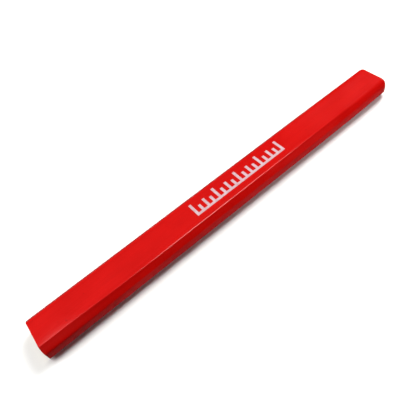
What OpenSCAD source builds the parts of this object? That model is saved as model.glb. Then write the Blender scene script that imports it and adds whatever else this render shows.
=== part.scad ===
// Flat carpenter pencil, unsharpened, lying on one of its broad faces.
// Two grooved wood slats are glued around a flat lead, shaped to an
// eight-sided section, lacquered and printed.
// X runs along the pencil, Y across its broad face and Z up.
// The origin is the centre of the broad face that it rests on.

/* [Body] */
// Overall length, cut end to cut end
body_length = 175; // [150:1:250]
// Width across the two narrow sides, over the lacquer
body_width = 16; // [14:0.1:17]
// Thickness across the two broad faces, over the lacquer
body_thickness = 8; // [6.5:0.1:9]
// Width of each broad face between its long edges
broad_face = 11.5; // [10:0.1:12]
// Height of each narrow side between its long edges
narrow_side = 3.5; // [1.5:0.1:4]
// Radius of the long edges, over the lacquer
edge_radius = 0.5; // [0.25:0.05:0.6]

/* [Lead] */
// Width of the flat lead
lead_width = 5.6; // [4:0.1:6.5]
// Thickness of the flat lead
lead_thickness = 2.3; // [1.6:0.1:2.8]
// Radius of the lead's long edges
lead_radius = 0.5; // [0.2:0.05:0.8]

/* [Layers] */
// Thickness of the glue between the two slats, and around the lead
glue = 0.1; // [0.05:0.01:0.2]
// Thickness of the undercoat that seals the wood
undercoat = 0.06; // [0.03:0.01:0.1]
// Thickness of the colour lacquer over the undercoat
lacquer = 0.14; // [0.08:0.01:0.2]
// Thickness of the printing ink on the lacquer
ink = 0.03; // [0.02:0.01:0.05]

/* [Print] */
// Length of the printed rule
rule_length = 46; // [30:1:60]
// Height of the printed rule across the broad face
rule_height = 6.4; // [4:0.1:6.5]
// Width of the rule's base line
base_line = 1.1; // [0.8:0.1:1.5]
// Width of each graduation
tick_width = 1.2; // [0.6:0.1:1.4]
// Number of spaces between graduations
tick_spaces = 16; // [8:4:20]
// Distance of the rule's centre from the middle of the pencil
rule_offset = 6; // [0:1:40]
// Distance of the rule's centre line from the broad face's centre line
rule_shift = 0.4; // [0:0.1:0.5]

/* [Hidden] */
// Chords in each rounded long edge
arc_steps = 5;
// Height of the joint between the slats
middle = body_thickness / 2;
// Both coats together, over the wood
coat = undercoat + lacquer;
// Heights of the rule's graduations, as shares of its height
long_tick = 1;
medium_tick = 0.8;
short_tick = 0.62;

// Outward normal of the edge from a to b of an anticlockwise outline.
function normal_of(a, b) = [b[1] - a[1], a[0] - b[0]] / norm(b - a);

// Points of one corner p, drawn in by inset and rounded to radius r, between
// the edges with outward normals m and n.
function corner_points(p, m, n, inset, r) =
    let (
        reach = (m + n) / (1 + m * n),
        centre = p - (inset + r) * reach,
        start = atan2(m[1], m[0]),
        turn = acos(m * n)
    )
    [for (i = [0 : arc_steps])
        centre + r * [
            cos(start + turn * i / arc_steps),
            sin(start + turn * i / arc_steps)
        ]];

// A convex outline, given anticlockwise, drawn in by inset with its corners
// rounded to radius r.
function rounded_outline(points, inset, r) =
    let (last = len(points) - 1)
    [for (i = [0 : last])
        let (
            before = points[i == 0 ? last : i - 1],
            after = points[i == last ? 0 : i + 1]
        )
        each corner_points(
            points[i],
            normal_of(before, points[i]),
            normal_of(points[i], after),
            inset, r
        )];

// The eight corners of the section, over the lacquer, anticlockwise from the
// bottom face. The first coordinate runs across and the second runs up.
function section_corners() =
    let (
        f = broad_face / 2,
        w = body_width / 2,
        low = (body_thickness - narrow_side) / 2,
        high = (body_thickness + narrow_side) / 2
    )
    [
        [f, 0], [w, low], [w, high], [f, body_thickness],
        [-f, body_thickness], [-w, high], [-w, low], [-f, 0]
    ];

// A rectangle about the middle of the section.
function middle_corners(w, h) = [
    [w / 2, middle - h / 2], [w / 2, middle + h / 2],
    [-w / 2, middle + h / 2], [-w / 2, middle - h / 2]
];

// Stands an outline drawn in Y and Z along the whole pencil.
module along_pencil() {
    translate([-body_length / 2, 0, 0])
        rotate([90, 0, 90])
            linear_extrude(body_length)
                children();
}

module section(inset) {
    polygon(rounded_outline(
        section_corners(), inset, max(edge_radius - inset, 0.05)
    ));
}

module lead_section(growth) {
    polygon(rounded_outline(
        middle_corners(lead_width + 2 * growth, lead_thickness + 2 * growth),
        0, lead_radius + growth
    ));
}

// Everything on one side of a level line across the section.
module above(level) {
    translate([-body_width, level])
        square([2 * body_width, body_thickness]);
}

module below(level) {
    translate([-body_width, level - body_thickness])
        square([2 * body_width, body_thickness]);
}

module slat_section() {
    difference() {
        section(coat);
        lead_section(glue);
    }
}

module upper_slat() {
    color("burlywood")
        along_pencil()
            intersection() {
                slat_section();
                above(middle + glue / 2);
            }
}

module lower_slat() {
    color("burlywood")
        along_pencil()
            intersection() {
                slat_section();
                below(middle - glue / 2);
            }
}

module lead() {
    color("dimgray")
        along_pencil()
            lead_section(0);
}

module lead_bond() {
    color("wheat")
        along_pencil()
            difference() {
                lead_section(glue);
                lead_section(0);
            }
}

// The film of glue between the slats on one side of the lead. Side is 1 for
// +Y and -1 for -Y.
module glue_line(side) {
    outer = body_width / 2 - coat;
    inner = lead_width / 2 + glue;
    color("wheat")
        along_pencil()
            translate([side > 0 ? inner : -outer, middle - glue / 2])
                square([outer - inner, glue]);
}

module undercoat_film() {
    color("ivory")
        along_pencil()
            difference() {
                section(lacquer);
                section(coat);
            }
}

module lacquer_coat() {
    color("red")
        along_pencil()
            difference() {
                section(0);
                section(lacquer);
            }
}

// Every fourth graduation is long, every other one between is medium.
function tick_share(i) =
    i % 4 == 0 ? long_tick : i % 2 == 0 ? medium_tick : short_tick;

// A printed rule: a base line on the -Y side, with graduations that stand on
// it. It lies on the upper broad face.
module printed_rule() {
    pitch = (rule_length - tick_width) / tick_spaces;
    color("white")
        translate([
            rule_offset - rule_length / 2,
            rule_shift - rule_height / 2,
            body_thickness
        ])
            linear_extrude(ink) {
                square([rule_length, base_line]);
                for (i = [0 : tick_spaces])
                    translate([i * pitch, 0])
                        square([tick_width, rule_height * tick_share(i)]);
            }
}

upper_slat();
lower_slat();
lead();
lead_bond();
glue_line(1);  // left_glue_line
glue_line(-1);  // right_glue_line
undercoat_film();
lacquer_coat();
printed_rule();
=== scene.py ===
import math

import bmesh
import bpy
from mathutils import Matrix, Vector, noise


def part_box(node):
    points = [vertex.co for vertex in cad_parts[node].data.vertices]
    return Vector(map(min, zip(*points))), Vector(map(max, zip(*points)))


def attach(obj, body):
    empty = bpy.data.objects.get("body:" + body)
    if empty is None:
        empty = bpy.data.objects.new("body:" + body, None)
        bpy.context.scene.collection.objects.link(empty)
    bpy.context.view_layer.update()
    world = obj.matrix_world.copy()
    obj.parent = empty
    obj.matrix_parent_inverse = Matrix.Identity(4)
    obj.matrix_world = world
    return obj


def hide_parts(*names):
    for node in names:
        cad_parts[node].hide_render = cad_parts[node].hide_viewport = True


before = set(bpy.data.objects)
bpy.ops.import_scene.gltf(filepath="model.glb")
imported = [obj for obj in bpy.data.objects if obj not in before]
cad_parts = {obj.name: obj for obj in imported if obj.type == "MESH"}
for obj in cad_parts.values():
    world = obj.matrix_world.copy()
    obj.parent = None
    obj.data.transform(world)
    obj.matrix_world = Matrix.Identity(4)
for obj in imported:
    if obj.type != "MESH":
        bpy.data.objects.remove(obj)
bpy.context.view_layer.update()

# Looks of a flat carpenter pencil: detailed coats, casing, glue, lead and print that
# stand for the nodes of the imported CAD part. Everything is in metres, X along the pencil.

MM = 0.001

# Driving sizes that the nodes' boxes don't give
BROAD_FACE = 11.5 * MM
NARROW_SIDE = 3.5 * MM
LEAD_RADIUS = 0.5 * MM
CREASE_RADIUS = 0.5 * MM      # long edges of the two broad faces
UPPER_SIDE_RADIUS = 1.3 * MM  # upper long edges of the two narrow sides
LOWER_SIDE_RADIUS = 0.9 * MM  # lower long edges of the two narrow sides
LEAST_RADIUS = 0.05 * MM      # what every long edge keeps under the coats
SOFT_RADIUS = 3.4 * MM        # all long edges at the far end, rubbed round
SOFT_REACH = 48 * MM          # how far from the far end they start to soften
NEAR_LEAN = 0.7 * MM          # how far out of square the near end is cut
END_BLEND = 3 * MM            # depth over which the ends' unevenness dies away
NEAR_CORNER_WEAR = 0.35 * MM  # how far the near end is rounded back at the front narrow side
FAR_CORNER_WEAR = 1.3 * MM    # the same at the far end
CORNER_REACH = 2.2 * MM       # how far in from that side the rounding starts
NEAR_NARROWING = 0.5 * MM     # how much narrower the broad face is at the near end
NARROWING_HOLD = 10 * MM      # how far from the near end the face starts to widen
NARROWING_REACH = 35 * MM     # how far from the near end it has its full width
FRONT_TAPER = 0.4 * MM        # how far the front narrow side draws in at the far end
TAPER_REACH = 20 * MM         # how far from the far end it starts to draw in
RIM_WEAR = 0.16 * MM          # how far the lacquer is usually chipped back at its cut rims
RIPPLE = 0.012 * MM           # slow waves of the lacquered surface
RUB_DEPTH = 0.11 * MM         # how far the front crease is rubbed down at the near end
RUB_LENGTH = 22 * MM          # how far along the crease that rubbing reaches
RUB_WIDTH = 5 * MM            # how far over the broad face it reaches
RUB_DROP = 1.6 * MM           # how far down the chamfer it reaches
WOOD_FUZZ = 0.02 * MM         # how far the wood lies back at its cuts' edges, and how rough it is
GLUE_SHRINK = 0.06 * MM       # how far the dried glue lies back from the cut ends
FINE_REACH = 20 * MM          # how far from each end the meshes' rings lie closer together
BOND_STEPS = 8                # faces round each corner of the glue about the lead
SHARP_ANGLE = 0.6             # radians between faces, past which an edge isn't smoothed

# The printed rule, with tick heights as shares of its own height
RULE_SPACES = 16
TICK_WIDTH = 1.2 * MM
BASE_LINE = 1.1 * MM
TICK_HEIGHTS = (0.62, 0.8, 1.0)
PRINT_CELL = 0.16 * MM        # size of the faces of the ink's film, and of a pinhole
PRINT_WOBBLE = 0.04 * MM      # how uneven the ink's edges are

# Sizes from the frame
COAT_LOW, COAT_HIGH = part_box("lacquer_coat")
PRIMER_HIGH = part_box("undercoat_film")[1]
LEAD_LOW, LEAD_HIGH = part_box("lead")
BOND_LOW, BOND_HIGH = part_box("lead_bond")
GLUE_LOW, GLUE_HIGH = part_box("left_glue_line")
PRINT_LOW, PRINT_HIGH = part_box("printed_rule")
UPPER_LOW, UPPER_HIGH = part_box("upper_slat")
LOWER_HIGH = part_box("lower_slat")[1]
WIDTH = COAT_HIGH.y - COAT_LOW.y
THICKNESS = COAT_HIGH.z - COAT_LOW.z
MIDDLE = THICKNESS / 2
LACQUER = COAT_HIGH.y - PRIMER_HIGH.y
COATS = COAT_HIGH.y - UPPER_HIGH.y
LEAD_HALF_WIDTH = (LEAD_HIGH.y - LEAD_LOW.y) / 2
LEAD_HALF_HEIGHT = (LEAD_HIGH.z - LEAD_LOW.z) / 2
BOND = (BOND_HIGH.z - BOND_LOW.z) / 2 - LEAD_HALF_HEIGHT
GLUE = GLUE_HIGH.z - GLUE_LOW.z
INK = PRINT_HIGH.z - COAT_HIGH.z
RULE_HEIGHT = PRINT_HIGH.y - PRINT_LOW.y
RULE_PITCH = (PRINT_HIGH.x - PRINT_LOW.x - TICK_WIDTH) / RULE_SPACES


# ---------------------------------------------------------------- camera

def look_from(name, azimuth, elevation, roll, distance, target, lens):
    """A camera at that bearing from the target. Azimuth 0 looks along +Y."""
    a, e, r = (math.radians(v) for v in (azimuth, elevation, roll))
    back = Vector((math.sin(a) * math.cos(e), -math.cos(a) * math.cos(e), math.sin(e)))
    right = Vector((0, 0, 1)).cross(back).normalized()
    up = back.cross(right)
    x_axis = right * math.cos(r) + up * math.sin(r)
    y_axis = up * math.cos(r) - right * math.sin(r)
    turn = Matrix((x_axis, y_axis, back)).transposed()
    data = bpy.data.cameras.new(name)
    data.lens = lens
    data.clip_start = 5 * MM
    camera = bpy.data.objects.new(name, data)
    camera.matrix_world = Matrix.Translation(target + back * distance) @ turn.to_4x4()
    bpy.context.scene.collection.objects.link(camera)
    return camera


def make_camera():
    target = Vector((-9.31 * MM, 1.25 * MM, 0))
    camera = look_from("camera", azimuth=-29.24, elevation=53.78, roll=-13.53,
                       distance=176.6 * MM, target=target, lens=37.93)
    bpy.context.scene.camera = camera


# ---------------------------------------------------------------- studio

def area_light(name, place, target, size, radiance, diffuse, glossy):
    """A rectangle of light of that radiance, seen by diffuse or glossy rays as asked and
    never by the camera."""
    data = bpy.data.lights.new(name, "AREA")
    data.shape = "RECTANGLE"
    data.size, data.size_y = size
    data.energy = math.pi * size[0] * size[1] * radiance
    light = bpy.data.objects.new(name, data)
    light.location = place
    away = Vector(place) - Vector(target)
    light.rotation_euler = away.to_track_quat("Z", "Y").to_euler()
    light.visible_camera = False
    light.visible_diffuse = diffuse
    light.visible_glossy = glossy
    bpy.context.scene.collection.objects.link(light)


def sun_light(name, towards, strength, angle):
    """Light from that direction, angle degrees across, that gloss doesn't see."""
    data = bpy.data.lights.new(name, "SUN")
    data.energy = strength
    data.angle = math.radians(angle)
    light = bpy.data.objects.new(name, data)
    light.rotation_euler = Vector(towards).to_track_quat("Z", "Y").to_euler()
    light.visible_glossy = False
    bpy.context.scene.collection.objects.link(light)


def make_world():
    """A white surround for the camera, a soft fill for diffuse light, and for gloss a
    surround that is dim grey below, nearly black from the horizon to high up, and grey
    overhead."""
    world = bpy.data.worlds.new("surround")
    bpy.context.scene.world = world
    world.use_nodes = True
    tree = world.node_tree
    tree.nodes.clear()
    path = tree.nodes.new("ShaderNodeLightPath")
    seen = tree.nodes.new("ShaderNodeBackground")
    seen.inputs["Strength"].default_value = 1.0
    fill = tree.nodes.new("ShaderNodeBackground")
    fill.inputs["Strength"].default_value = 0.02
    direction = tree.nodes.new("ShaderNodeTexCoord")
    split = tree.nodes.new("ShaderNodeSeparateXYZ")
    tree.links.new(direction.outputs["Generated"], split.inputs[0])
    height = remap(tree, split.outputs["Z"], -1.0, 1.0, 0.0, 1.0)
    greys = [(0.3, 0.12), (0.5, 0.03), (0.77, 0.02), (0.84, 0.05), (0.92, 0.28)]
    shade = ramp(tree, height, [(z, (grey, grey, grey)) for z, grey in greys])
    gloss = tree.nodes.new("ShaderNodeBackground")
    tree.links.new(shade, gloss.inputs["Color"])
    unseen = tree.nodes.new("ShaderNodeMixShader")
    both = tree.nodes.new("ShaderNodeMixShader")
    out = tree.nodes.new("ShaderNodeOutputWorld")
    tree.links.new(path.outputs["Is Glossy Ray"], unseen.inputs["Fac"])
    tree.links.new(fill.outputs[0], unseen.inputs[1])
    tree.links.new(gloss.outputs[0], unseen.inputs[2])
    tree.links.new(path.outputs["Is Camera Ray"], both.inputs["Fac"])
    tree.links.new(unseen.outputs[0], both.inputs[1])
    tree.links.new(seen.outputs[0], both.inputs[2])
    tree.links.new(both.outputs[0], out.inputs["Surface"])


def dull_sheet(name, corners, material_name, colour):
    """A flat, matt sheet of the studio in one colour, unseen in gloss."""
    mesh = bpy.data.meshes.new(name)
    mesh.from_pydata(corners, [], [(0, 1, 2, 3)])
    sheet = bpy.data.objects.new(name, mesh)
    sheet.visible_glossy = False
    bpy.context.scene.collection.objects.link(sheet)
    material, shader, _ = new_material(material_name)
    shader.inputs["Base Color"].default_value = (*colour, 1)
    shader.inputs["Roughness"].default_value = 0.9
    shader.inputs["Specular IOR Level"].default_value = 0.0
    mesh.materials.append(material)
    return sheet


def make_floor():
    """A pale floor, so wide that its edge isn't seen from the camera."""
    far = 6.0
    corners = [(-far, -far, 0), (far, -far, 0), (far, far, 0), (-far, far, 0)]
    floor = dull_sheet("floor", corners, "pale_floor", (0.86, 0.86, 0.85))


def make_dark_card():
    """An unseen black card that keeps the floor's light off the near end's front."""
    y, height = -20 * MM, 25 * MM
    left, right = -120 * MM, -62 * MM
    corners = [(left, y, 0), (right, y, 0), (right, y, height), (left, y, height)]
    card = dull_sheet("dark_card", corners, "dark_card", (0, 0, 0))
    card.visible_camera = False
    card.visible_shadow = False


def make_studio():
    """Broad lights from overhead, low behind on the left and behind on the right, a small
    one low in front, two bright cards, seen in gloss only, for the highlights along the
    front crease and the near end, and a black card in front of the near end."""
    bpy.context.scene.view_settings.view_transform = "Standard"
    make_world()
    make_floor()
    make_dark_card()
    sun_light("overhead", towards=(0, 0.2, 1), strength=2.0, angle=32)
    sun_light("low_back_left", towards=(-1.0, 0.9, 0.6), strength=2.0, angle=40)
    sun_light("right_back", towards=(1.0, 0.35, 0.85), strength=3.45, angle=34)
    area_light("front_right", place=(0.10, -0.10, 0.07), target=(0.05, 0, 0),
               size=(0.05, 0.05), radiance=7.4, diffuse=True, glossy=False)
    area_light("crease_card", place=(0.12, -0.06, 0.4), target=(0.0, 0, 0),
               size=(0.3, 0.2), radiance=12.0, diffuse=False, glossy=True)
    area_light("near_card", place=(-0.13, 0.155, 0.4), target=(-0.08, 0, 0),
               size=(0.07, 0.09), radiance=2.6, diffuse=False, glossy=True)


# ---------------------------------------------------------------- materials

def new_material(name):
    """An empty material with one Principled shader: (material, shader, node tree)."""
    material = bpy.data.materials.new(name)
    material.use_nodes = True
    tree = material.node_tree
    tree.nodes.clear()
    shader = tree.nodes.new("ShaderNodeBsdfPrincipled")
    out = tree.nodes.new("ShaderNodeOutputMaterial")
    tree.links.new(shader.outputs["BSDF"], out.inputs["Surface"])
    return material, shader, tree


def stretched(tree, scale, offset=(0, 0, 0)):
    """Object coordinates times scale, so a pattern can be long one way."""
    coordinates = tree.nodes.new("ShaderNodeTexCoord")
    mapping = tree.nodes.new("ShaderNodeMapping")
    mapping.inputs["Scale"].default_value = scale
    mapping.inputs["Location"].default_value = offset
    tree.links.new(coordinates.outputs["Object"], mapping.inputs["Vector"])
    return mapping.outputs["Vector"]


def grain(tree, scale, detail=2.0, offset=(0, 0, 0)):
    """Noise between 0 and 1 with scale cells per metre along X, Y and Z."""
    texture = tree.nodes.new("ShaderNodeTexNoise")
    texture.inputs["Scale"].default_value = 1.0
    texture.inputs["Detail"].default_value = detail
    tree.links.new(stretched(tree, scale, offset), texture.inputs["Vector"])
    return texture.outputs["Fac"]


def ramp(tree, value, stops):
    """A colour ramp over value. Stops are (position, colour)."""
    node = tree.nodes.new("ShaderNodeValToRGB")
    elements = node.color_ramp.elements
    for i, (position, colour) in enumerate(stops):
        element = elements[i] if i < 2 else elements.new(position)
        element.position = position
        element.color = (*colour, 1)
    tree.links.new(value, node.inputs["Fac"])
    return node.outputs["Color"]


def remap(tree, value, low, high, to_low, to_high):
    """The value from low to high turned into to_low to to_high, and held outside them."""
    node = tree.nodes.new("ShaderNodeMapRange")
    node.inputs["From Min"].default_value = low
    node.inputs["From Max"].default_value = high
    node.inputs["To Min"].default_value = to_low
    node.inputs["To Max"].default_value = to_high
    tree.links.new(value, node.inputs["Value"])
    return node.outputs["Result"]


def maths(tree, operation, a, b):
    """One operation on two inputs, each a number or another node's output."""
    node = tree.nodes.new("ShaderNodeMath")
    node.operation = operation
    for socket, value in zip(node.inputs, (a, b)):
        if isinstance(value, (int, float)):
            socket.default_value = value
        else:
            tree.links.new(value, socket)
    return node.outputs["Value"]


def blend(tree, a, share_a, b, share_b):
    """The sum of a and b, each times its share."""
    return maths(tree, "ADD", maths(tree, "MULTIPLY", a, share_a), maths(tree, "MULTIPLY", b, share_b))


def bump(tree, shader, height, distance, before=None):
    """Relief of that depth on the shader, over the relief before. Gives both together."""
    node = tree.nodes.new("ShaderNodeBump")
    node.inputs["Distance"].default_value = distance
    tree.links.new(height, node.inputs["Height"])
    if before:
        tree.links.new(before, node.inputs["Normal"])
    tree.links.new(node.outputs["Normal"], shader.inputs["Normal"])
    return node.outputs["Normal"]


def lacquer_material():
    """Red lacquer: faint clouds, the wood's grain showing through, orange peel, a few pits."""
    material, shader, tree = new_material("red_lacquer")
    cloud = grain(tree, (90, 160, 160), 3.0)
    streak = grain(tree, (45, 1400, 1400), 2.0, (3, 1, 2))
    pits = remap(tree, grain(tree, (420, 700, 700), 2.0, (9, 4, 7)), 0.72, 0.8, 0.0, 1.0)
    tone = blend(tree, cloud, 0.6, streak, 0.4)
    worn = maths(tree, "SUBTRACT", tone, maths(tree, "MULTIPLY", pits, 0.5))
    stops = [(0.1, (0.30, 0.0016, 0.0012)), (0.35, (0.415, 0.0022, 0.0015)),
             (0.7, (0.475, 0.003, 0.0022))]
    tree.links.new(ramp(tree, worn, stops), shader.inputs["Base Color"])
    tree.links.new(remap(tree, cloud, 0.3, 0.7, 0.1, 0.16), shader.inputs["Roughness"])
    shader.inputs["Specular IOR Level"].default_value = 0.3
    peel = grain(tree, (700, 900, 900), 1.0, (5, 5, 5))
    first = bump(tree, shader, streak, 0.004 * MM)
    second = bump(tree, shader, peel, 0.012 * MM, first)
    bump(tree, shader, maths(tree, "SUBTRACT", 1.0, pits), 0.01 * MM, second)
    return material


def undercoat_material():
    """Primer: a pale, matt, finely speckled pinkish tan."""
    material, shader, tree = new_material("undercoat")
    speck = grain(tree, (2500, 2500, 2500), 2.0)
    colour = ramp(tree, speck, [(0.35, (0.62, 0.50, 0.40)), (0.65, (0.80, 0.70, 0.60))])
    tree.links.new(colour, shader.inputs["Base Color"])
    shader.inputs["Roughness"].default_value = 0.7
    bump(tree, shader, speck, 0.01 * MM)
    return material


def growth_rings(tree, pith, pitch):
    """Rings pitch apart round a line along X through pith (y, z), a little uneven."""
    radians_per_unit = 20  # how fast the wave texture runs at a scale of 1
    wave = tree.nodes.new("ShaderNodeTexWave")
    wave.wave_type = "RINGS"
    wave.rings_direction = "X"
    wave.wave_profile = "SAW"
    wave.inputs["Scale"].default_value = 2 * math.pi / radians_per_unit / pitch
    wave.inputs["Distortion"].default_value = 1.6
    wave.inputs["Detail"].default_value = 2.0
    wave.inputs["Detail Scale"].default_value = 0.6
    tree.links.new(stretched(tree, (0.05, 1, 1), (0, -pith[0], -pith[1])), wave.inputs["Vector"])
    return wave.outputs["Fac"]


def wood_material(name, pith, offset):
    """Pale, fine-grained casing wood: growth rings, pores and a fuzzy sawn surface."""
    material, shader, tree = new_material(name)
    rings = growth_rings(tree, pith, 1.9 * MM)
    fibre = grain(tree, (60, 2600, 2600), 3.0, offset)
    pores = remap(tree, grain(tree, (90, 9500, 9500), 1.0, offset), 0.6, 0.75, 0.0, 1.0)
    shade = blend(tree, rings, 0.45, fibre, 0.55)
    tone = maths(tree, "SUBTRACT", shade, maths(tree, "MULTIPLY", pores, 0.22))
    stops = [(0.0, (0.33, 0.19, 0.085)), (0.3, (0.54, 0.37, 0.20)), (0.75, (0.70, 0.53, 0.33))]
    tree.links.new(ramp(tree, tone, stops), shader.inputs["Base Color"])
    tree.links.new(remap(tree, fibre, 0.3, 0.7, 0.72, 0.9), shader.inputs["Roughness"])
    shader.inputs["Specular IOR Level"].default_value = 0.25
    first = bump(tree, shader, fibre, 0.03 * MM)
    bump(tree, shader, maths(tree, "SUBTRACT", 1.0, pores), 0.04 * MM, first)
    return material


def graphite_material():
    """Fired graphite and clay: dark, finely speckled, with a dull metallic shine."""
    material, shader, tree = new_material("graphite")
    speck = grain(tree, (7000, 7000, 7000), 3.0)
    drag = grain(tree, (300, 5200, 420), 2.0, (2, 2, 2))
    colour = ramp(tree, speck, [(0.35, (0.028, 0.028, 0.031)), (0.7, (0.085, 0.085, 0.092))])
    tree.links.new(colour, shader.inputs["Base Color"])
    tree.links.new(remap(tree, drag, 0.3, 0.7, 0.3, 0.5), shader.inputs["Roughness"])
    shader.inputs["Metallic"].default_value = 0.25
    shader.inputs["Specular IOR Level"].default_value = 0.6
    first = bump(tree, shader, drag, 0.02 * MM)
    bump(tree, shader, speck, 0.008 * MM, first)
    return material


def glue_material():
    """Dried wood glue: amber, slightly glossy, with fine fibres caught in it."""
    material, shader, tree = new_material("wood_glue")
    cloud = grain(tree, (900, 3200, 3200), 3.0)
    colour = ramp(tree, cloud, [(0.35, (0.30, 0.17, 0.06)), (0.65, (0.47, 0.30, 0.13))])
    tree.links.new(colour, shader.inputs["Base Color"])
    tree.links.new(remap(tree, cloud, 0.3, 0.7, 0.35, 0.55), shader.inputs["Roughness"])
    bump(tree, shader, cloud, 0.01 * MM)
    return material


def ink_material():
    """White ink, pinkish where it lies thin over the red."""
    material, shader, tree = new_material("white_ink")
    cover = grain(tree, (500, 500, 500), 3.0)
    stops = [(0.30, (0.42, 0.25, 0.26)), (0.48, (0.46, 0.32, 0.34)), (0.7, (0.50, 0.39, 0.41))]
    tree.links.new(ramp(tree, cover, stops), shader.inputs["Base Color"])
    tree.links.new(remap(tree, cover, 0.3, 0.7, 0.5, 0.38), shader.inputs["Roughness"])
    bump(tree, shader, grain(tree, (3000, 3000, 3000), 1.0), 0.004 * MM)
    return material


# ---------------------------------------------------------------- section

def smooth_step(value, low, high):
    """0 up to low, 1 from high on, and an even slope without corners between them."""
    share = min(max((value - low) / (high - low), 0.0), 1.0)
    return share * share * (3 - 2 * share)


def trimmed(x, y, z, retreat=0.0):
    """The point with its end drawn in by retreat, the near end cut out of square, and both
    ends rounded back at the front narrow side."""
    near = 1 - smooth_step(x - COAT_LOW.x, 0, END_BLEND)
    far = 1 - smooth_step(COAT_HIGH.x - x, 0, END_BLEND)
    lean = NEAR_LEAN * (y - COAT_LOW.y) / WIDTH
    corner = max(0.0, 1 - (y - COAT_LOW.y) / CORNER_REACH) ** 2
    near_retreat = retreat + lean + NEAR_CORNER_WEAR * corner
    far_retreat = retreat + FAR_CORNER_WEAR * corner
    return Vector((x + near_retreat * near - far_retreat * far, y, z))


def edge_radius(x, sharp_radius):
    """Radius of a long edge at x: its own, and rubbed round towards the far end."""
    share = smooth_step(x, COAT_HIGH.x - SOFT_REACH, COAT_HIGH.x)
    return sharp_radius + (SOFT_RADIUS - sharp_radius) * share


def side_reach(x, side):
    """Distance from the pencil's middle to its back (1) or front (-1) narrow side at x."""
    if side > 0:
        return WIDTH / 2
    return WIDTH / 2 - FRONT_TAPER * smooth_step(x, COAT_HIGH.x - TAPER_REACH, COAT_HIGH.x)


def section_corners(x):
    """The section's eight corners over the lacquer at x, (y, z), anticlockwise, each with
    the radius of its edge."""
    broad = BROAD_FACE / 2
    widened = smooth_step(x - COAT_LOW.x, NARROWING_HOLD, NARROWING_REACH)
    narrowed = broad - NEAR_NARROWING * (1 - widened)
    back, front = side_reach(x, 1), side_reach(x, -1)
    low, high = (THICKNESS - NARROW_SIDE) / 2, (THICKNESS + NARROW_SIDE) / 2
    corners = [(broad, 0, CREASE_RADIUS), (back, low, LOWER_SIDE_RADIUS),
               (back, high, UPPER_SIDE_RADIUS), (broad, THICKNESS, CREASE_RADIUS),
               (-narrowed, THICKNESS, CREASE_RADIUS), (-front, high, UPPER_SIDE_RADIUS),
               (-front, low, LOWER_SIDE_RADIUS), (-broad, 0, CREASE_RADIUS)]
    return [(Vector((y, z)), radius) for y, z, radius in corners]


def corner_arc(index, x, inset, steps):
    """(point, outward normal) pairs along one rounded corner of the outline at x."""
    corners = section_corners(x)
    corner, own_radius = corners[index]
    radius = max(edge_radius(x, own_radius) - inset, LEAST_RADIUS)
    into = (corner - corners[index - 1][0]).normalized()
    leave = (corners[(index + 1) % len(corners)][0] - corner).normalized()
    m, n = Vector((into.y, -into.x)), Vector((leave.y, -leave.x))
    centre = corner - (m + n) * ((inset + radius) / (1 + m.dot(n)))
    start, turn = math.atan2(m.y, m.x), math.acos(m.dot(n))
    angles = [start + turn * k / steps for k in range(steps + 1)]
    normals = [Vector((math.cos(a), math.sin(a))) for a in angles]
    return [(centre + normal * radius, normal) for normal in normals]


def flat_between(before, after, steps):
    """The pairs between the last of one arc and the first of the next, ends left out."""
    return [(before[0].lerp(after[0], k / steps), after[1]) for k in range(1, steps)]


def section(x, inset, arc_steps, pitch):
    """The whole outline at x, drawn in by inset, as (point, normal) pairs about pitch
    apart on the flats. It has the same number of pairs at every x."""
    corners = section_corners(0)
    arcs = [corner_arc(i, x, inset, arc_steps) for i in range(len(corners))]
    outline = []
    for i, arc in enumerate(arcs):
        following = (i + 1) % len(arcs)
        steps = max(1, round((corners[following][0] - corners[i][0]).length / pitch))
        outline += arc + flat_between(arc[-1], arcs[following][0], steps)
    return outline


def half_outline(x, inset, arc_steps, pitch, joint, upper):
    """The part of the outline above or below the height joint, from +Y round to -Y."""
    back, front = side_reach(x, 1) - inset, side_reach(x, -1) - inset
    arcs = [[(Vector((back, joint)), Vector((1, 0)))]]
    if upper:
        arcs += [corner_arc(i, x, inset, arc_steps) for i in (2, 3, 4, 5)]
    else:
        arcs += [corner_arc(i, x, inset, arc_steps)[::-1] for i in (1, 0, 7, 6)]
    arcs += [[(Vector((-front, joint)), Vector((-1, 0)))]]
    side, chamfer = NARROW_SIDE / 2, (THICKNESS - NARROW_SIDE) / math.sqrt(2)
    flats = [side, chamfer, BROAD_FACE, chamfer, side]
    outline = []
    for arc, following, flat in zip(arcs, arcs[1:], flats):
        outline += arc + flat_between(arc[-1], following[0], max(1, round(flat / pitch)))
    return [p for p, _ in outline + arcs[-1]]


def stations(pitch, end_pitch):
    """Places along the pencil for rings: close together at both ends."""
    places = []
    x = COAT_LOW.x
    while x < 0:
        places.append(x)
        inwards = smooth_step(x - COAT_LOW.x, 0, FINE_REACH)
        x += end_pitch + (pitch - end_pitch) * inwards
    return places + [0.0] + [-x for x in reversed(places)]


def resampled(path, count):
    """count points at equal distances along a path of (y, z) points."""
    lengths = [0.0]
    for a, b in zip(path, path[1:]):
        lengths.append(lengths[-1] + (b - a).length)
    points = []
    index = 0
    for k in range(count):
        along = lengths[-1] * k / (count - 1)
        while index < len(path) - 2 and lengths[index + 1] < along:
            index += 1
        share = (along - lengths[index]) / (lengths[index + 1] - lengths[index])
        points.append(path[index].lerp(path[index + 1], share))
    return points


def rounded_box(growth, steps):
    """The lead's outline grown by growth, anticlockwise from its lower right corner."""
    radius = LEAD_RADIUS + growth
    half_width = LEAD_HALF_WIDTH + growth - radius
    half_height = LEAD_HALF_HEIGHT + growth - radius
    points = []
    for corner, (side, level) in enumerate(((1, -1), (1, 1), (-1, 1), (-1, -1))):
        centre = Vector((side * half_width, MIDDLE + level * half_height))
        for k in range(steps + 1):
            a = math.radians(90 * (corner - 1 + k / steps))
            points.append(centre + Vector((math.cos(a), math.sin(a))) * radius)
    return points


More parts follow.
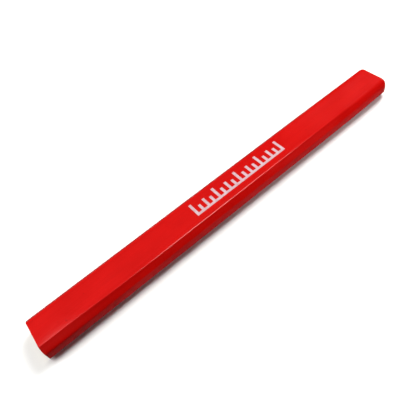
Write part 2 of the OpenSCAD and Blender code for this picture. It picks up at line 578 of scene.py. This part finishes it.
def groove_outline(count, joint, upper):
    """A slat's groove, from the joint's +Y side round the lead to its -Y side."""
    bond = rounded_box(BOND, BOND_STEPS)
    if upper:
        around = [p for p in bond if p.y > joint]
    else:
        around = sorted((p for p in bond if p.y < joint), key=lambda p: -p.x)
    start, end = Vector((around[0].x, joint)), Vector((around[-1].x, joint))
    return resampled([start] + around + [end], count)


# ---------------------------------------------------------------- meshes

def finish_mesh(name, bm, material):
    """The built mesh as an object of that name, smooth but for its sharp edges."""
    bmesh.ops.recalc_face_normals(bm, faces=bm.faces)
    mesh = bpy.data.meshes.new(name)
    bm.to_mesh(mesh)
    bm.free()
    piece = bpy.data.objects.new(name, mesh)
    bpy.context.scene.collection.objects.link(piece)
    mesh.materials.append(material)
    for polygon in mesh.polygons:
        polygon.use_smooth = True
    mesh.set_sharp_from_angle(angle=SHARP_ANGLE)
    return piece


def block(name, point, counts, material, wrap=False):
    """The closed outside of a lattice. point(i, j, k) gives its points: i runs along the
    pencil, j from the inside out, and k across or, with wrap, right round."""
    rings, layers, columns = counts
    span = columns if wrap else columns - 1
    bm = bmesh.new()
    verts = {}

    def vert(i, j, k):
        key = (i, j, k % columns)
        if key not in verts:
            verts[key] = bm.verts.new(point(*key))
        return verts[key]

    def quad(i, j, k, a, b):
        corners = ((0, 0), (1, 0), (1, 1), (0, 1))
        steps = [[a[n] * p + b[n] * q for n in range(3)] for p, q in corners]
        bm.faces.new([vert(i + di, j + dj, k + dk) for di, dj, dk in steps])

    along, out, across = (1, 0, 0), (0, 1, 0), (0, 0, 1)
    for i in range(rings - 1):
        for k in range(span):
            quad(i, 0, k, along, across)
            quad(i, layers - 1, k, along, across)
    for j in range(layers - 1):
        for k in range(span):
            quad(0, j, k, out, across)
            quad(rings - 1, j, k, out, across)
        if not wrap:
            for i in range(rings - 1):
                quad(i, j, 0, along, out)
                quad(i, j, columns - 1, along, out)
    return finish_mesh(name, bm, material)


def keep(piece, slot, *nodes):
    """Rides on the one body and stands for the CAD nodes, which it hides. The slot argument is not
    used.
    """
    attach(piece, "root")
    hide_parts(*nodes)


# ---------------------------------------------------------------- surfaces

def wander(x, y, z, size, seed=0.0):
    """Smooth noise, about -1 to 1, that changes over size."""
    return noise.noise(Vector((x / size + seed, y / size, z / size)))


def rubbing(x, y, z):
    """How far the lacquer is rubbed down by the front crease at the near end."""
    lengthwise = 1 - smooth_step(x - COAT_LOW.x, 0.2 * RUB_LENGTH, RUB_LENGTH)
    over_face = min(max(1 - (y + BROAD_FACE / 2) / RUB_WIDTH, 0.0), 1.0)
    down_chamfer = smooth_step(z, THICKNESS - RUB_DROP, THICKNESS)
    return RUB_DEPTH * lengthwise * over_face ** 2 * down_chamfer


def ripple(x, y, z):
    """How far the lacquered surface stands out from its true place: never outwards."""
    return RIPPLE * (wander(x / 3, y, z, 4 * MM) - 1) - rubbing(x, y, z)


def chipping(x, y, z):
    """How far the lacquer's cut rim is chipped back at this place round the rim."""
    seed = math.copysign(5.0, x)
    small = wander(0, y, z, 0.8 * MM, seed)
    large = wander(0, y, z, 2.5 * MM, seed)
    return RIM_WEAR * (0.3 + max(0.0, small) + 2 * max(0.0, large - 0.1))


def saw_marks(x, y, z, pitch, depth):
    """Depth of the saw's marks in an end face: slanting ridges, none of them quite even."""
    slant = math.radians(62 if x < 0 else 75)
    drift = 0.25 * wander(0, y, z, 3 * MM, 2.0)
    phase = (y * math.cos(slant) + z * math.sin(slant)) / pitch + drift
    ridge = 0.5 + 0.5 * math.sin(2 * math.pi * phase)
    return depth * ridge * (0.6 + 0.4 * wander(0, y, z, 1.5 * MM))


def glue_retreat(x, y, z):
    """How far dried glue lies back from a cut end: about GLUE_SHRINK, but uneven."""
    return GLUE_SHRINK * (1 + 0.5 * wander(x, y, z, 0.6 * MM))


# ---------------------------------------------------------------- pieces

def make_lacquer():
    """The red coat: rippled and rubbed outside, with chipped rims at both cuts."""
    arc_steps, pitch = 8, 0.4 * MM
    places = stations(1.5 * MM, 0.3 * MM)
    outer = [section(x, 0, arc_steps, pitch) for x in places]
    inner = [section(x, LACQUER, arc_steps, pitch) for x in places]

    def point(i, j, k):
        x = places[i]
        (y, z), normal = outer[i][k]
        chip = chipping(x, y, z)
        if j == 0:
            return trimmed(x, *inner[i][k][0], 0.5 * chip)
        y, z = outer[i][k][0] + normal * ripple(x, y, z)
        return trimmed(x, y, z, chip)

    counts = (len(places), 2, len(outer[0]))
    piece = block("lacquer_skin", point, counts, lacquer_material(), wrap=True)
    keep(piece, "red_lacquer", "lacquer_coat")


def make_undercoat():
    """The primer between the wood and the lacquer."""
    arc_steps, pitch = 6, 0.5 * MM
    places = stations(3 * MM, 0.5 * MM)
    layers = [[section(x, inset, arc_steps, pitch) for x in places] for inset in (COATS, LACQUER)]

    def point(i, j, k):
        return trimmed(places[i], *layers[j][i][k][0])

    counts = (len(places), 2, len(layers[0][0]))
    piece = block("undercoat_skin", point, counts, undercoat_material(), wrap=True)
    keep(piece, "undercoat", "undercoat_film")


def make_slat(name, node, joint, upper, material):
    """One grooved slat, above or below the height joint, with fuzzy, sawn ends."""
    rows, arc_steps, pitch = 14, 6, 0.3 * MM
    places = stations(6 * MM, 0.5 * MM)
    outer = [half_outline(x, COATS, arc_steps, pitch, joint, upper) for x in places]
    groove = groove_outline(len(outer[0]), joint, upper)

    def point(i, j, k):
        x = places[i]
        y, z = groove[k].lerp(outer[i][k], j / (rows - 1))
        rough = WOOD_FUZZ * (1 + wander(x, y, z, 0.5 * MM))
        inside = math.sin(math.pi * j / (rows - 1))
        sawn = saw_marks(x, y, z, pitch=0.9 * MM, depth=0.05 * MM)
        return trimmed(x, y, z, WOOD_FUZZ + (rough + sawn) * inside)

    piece = block(name, point, (len(places), rows, len(groove)), material)
    keep(piece, "casing_wood", node)


def make_lead():
    """The flat lead, its ends a little below the wood's, with fine saw marks."""
    columns, rows = 36, 16
    recess = 0.03 * MM
    places = stations(12 * MM, 1 * MM)

    def point(i, j, k):
        x = places[i]
        y = -LEAD_HALF_WIDTH * math.cos(math.pi * k / (columns - 1))
        past = max(0.0, abs(y) - (LEAD_HALF_WIDTH - LEAD_RADIUS))
        reach = LEAD_HALF_HEIGHT - LEAD_RADIUS + math.sqrt(max(0.0, LEAD_RADIUS ** 2 - past ** 2))
        z = MIDDLE + reach * (2 * j / (rows - 1) - 1)
        return trimmed(x, y, z, recess + saw_marks(x, y, z, pitch=0.45 * MM, depth=0.02 * MM))

    piece = block("lead_core", point, (len(places), rows, columns), graphite_material())
    keep(piece, "graphite", "lead")


def make_lead_bond(material):
    """The sleeve of glue between the lead and the two grooves."""
    places = stations(12 * MM, 1 * MM)
    outlines = [rounded_box(growth, BOND_STEPS) for growth in (0.0, BOND)]

    def point(i, j, k):
        x = places[i]
        y, z = outlines[j][k]
        return trimmed(x, y, z, glue_retreat(x, y, z))

    piece = block("lead_bond_line", point, (len(places), 2, len(outlines[0])), material, wrap=True)
    keep(piece, "wood_glue", "lead_bond")


def make_glue_line(side, node, material):
    """The glue between the slats on the +Y side (1) or the -Y side (-1) of the lead."""
    columns = 16
    places = stations(12 * MM, 1 * MM)

    def point(i, j, k):
        x = places[i]
        outermost = side_reach(x, side) - COATS
        y = side * (GLUE_LOW.y + (outermost - GLUE_LOW.y) * k / (columns - 1))
        z = GLUE_LOW.z + GLUE * j
        return trimmed(x, y, z, glue_retreat(x, y, z))

    piece = block(node + "_film", point, (len(places), 2, columns), material)
    keep(piece, "wood_glue", node)


def split_range(edges, pitch):
    """The edges with points between them at about pitch, evenly in each stretch."""
    points = []
    for a, b in zip(edges, edges[1:]):
        steps = max(1, round((b - a) / pitch))
        points += [a + (b - a) * k / steps for k in range(steps)]
    return points + [edges[-1]]


def rule_cells(columns, rows):
    """Which cells of the grid are printed, as a set of (column, row). Every fourth tick is
    the tallest, and every second one of middle height."""
    middles = [(low + high) / 2 - PRINT_LOW.y for low, high in zip(rows, rows[1:])]
    cells = set()
    for c, (x0, x1) in enumerate(zip(columns, columns[1:])):
        along = (x0 + x1) / 2 - PRINT_LOW.x
        tick = int(along / RULE_PITCH)
        rank = 2 if tick % 4 == 0 else 1 if tick % 2 == 0 else 0
        on_tick = along - tick * RULE_PITCH < TICK_WIDTH
        reach = RULE_HEIGHT * TICK_HEIGHTS[rank] if on_tick else BASE_LINE
        cells |= {(c, r) for r, middle in enumerate(middles) if middle < reach}
    return cells


def drop_pinholes(cells, columns, rows):
    """Leaves out single cells where the ink has missed, never two side by side."""
    threshold = 0.5
    kept = set(cells)
    near = [(a, b) for a in (-1, 0, 1) for b in (-1, 0, 1)]
    for c, r in sorted(cells):
        missed = wander(columns[c], rows[r], 0, 0.45 * MM, 8.0) > threshold
        if missed and all((c + a, r + b) in kept for a, b in near):
            kept.discard((c, r))
    return kept


def make_print():
    """The printed rule: one thin film that lies on the lacquer's own surface."""
    starts = [PRINT_LOW.x + RULE_PITCH * i for i in range(RULE_SPACES + 1)]
    columns = split_range([x for start in starts for x in (start, start + TICK_WIDTH)], PRINT_CELL)
    levels = [0.0, BASE_LINE] + [RULE_HEIGHT * share for share in TICK_HEIGHTS]
    rows = split_range([PRINT_LOW.y + level for level in levels], PRINT_CELL)
    bm = bmesh.new()
    verts = {}
    for c, r in sorted(drop_pinholes(rule_cells(columns, rows), columns, rows)):
        corners = [(c, r), (c + 1, r), (c + 1, r + 1), (c, r + 1)]
        for key in corners:
            if key not in verts:
                verts[key] = bm.verts.new((columns[key[0]], rows[key[1]], 0))
        bm.faces.new([verts[key] for key in corners])
    for _ in range(2):
        edge = [v for v in bm.verts if v.is_boundary]
        bmesh.ops.smooth_vert(bm, verts=edge, factor=0.4, use_axis_x=True, use_axis_y=True)
    for v in bm.verts:
        x, y = v.co.x, v.co.y
        v.co.x += PRINT_WOBBLE * wander(x, y, 0, 0.5 * MM, 3.0)
        v.co.y += PRINT_WOBBLE * wander(x, y, 0, 0.5 * MM, 6.0)
        v.co.z = THICKNESS + ripple(v.co.x, v.co.y, THICKNESS) - 0.5 * INK
    lifted = bmesh.ops.extrude_face_region(bm, geom=bm.faces[:], use_keep_orig=True)
    for v in lifted["geom"]:
        if isinstance(v, bmesh.types.BMVert):
            v.co.z += 1.5 * INK
    piece = finish_mesh("printed_rule_film", bm, ink_material())
    keep(piece, "white_ink", "printed_rule")


make_camera()
make_studio()
make_lacquer()
make_undercoat()
make_slat("upper_slat_wood", "upper_slat", UPPER_LOW.z, True,
          wood_material("upper_wood", (-19 * MM, -22 * MM), (0, 3, 1)))
make_slat("lower_slat_wood", "lower_slat", LOWER_HIGH.z, False,
          wood_material("lower_wood", (12 * MM, 34 * MM), (0, 7, 5)))
make_lead()
glue = glue_material()
make_lead_bond(glue)
make_glue_line(1, "left_glue_line", glue)
make_glue_line(-1, "right_glue_line", glue)
make_print()
